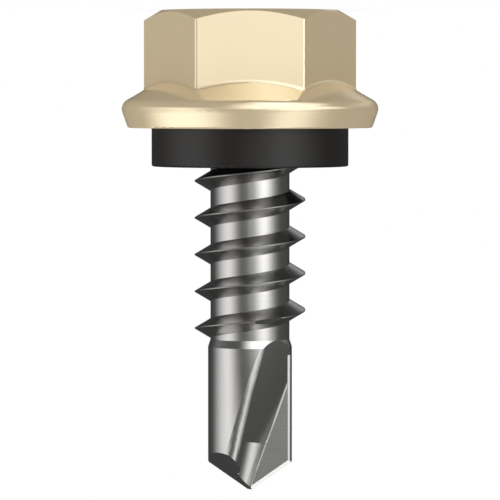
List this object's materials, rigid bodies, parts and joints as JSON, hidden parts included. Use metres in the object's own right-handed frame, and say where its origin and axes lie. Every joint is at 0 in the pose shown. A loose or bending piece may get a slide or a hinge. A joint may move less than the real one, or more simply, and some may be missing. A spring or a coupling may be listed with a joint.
{
  "type": "self drilling screw",
  "caption": "Self drilling sheet metal screw with a painted hexagon flange head, a rubber sealing washer, a coarse thread and a fluted drill point.",
  "frame": {"origin": "centre of the flat top of the head, on the axis of the screw; the screw stands on its head", "axes": "+Z along the axis of the screw, from the head to the drill point; two flats of the hexagon are square to Y"},
  "size_m": [0.011, 0.011, 0.0207],
  "materials": {
    "painted_steel": "gloss cream paint on the hexagon and flange, bright plated steel on the shank, thread and drill point",
    "sealing_rubber": "satin black moulded rubber"
  },
  "bodies": {
    "root": {"screw": "painted_steel", "sealing_washer": "sealing_rubber"}
  },
  "joints": []
}
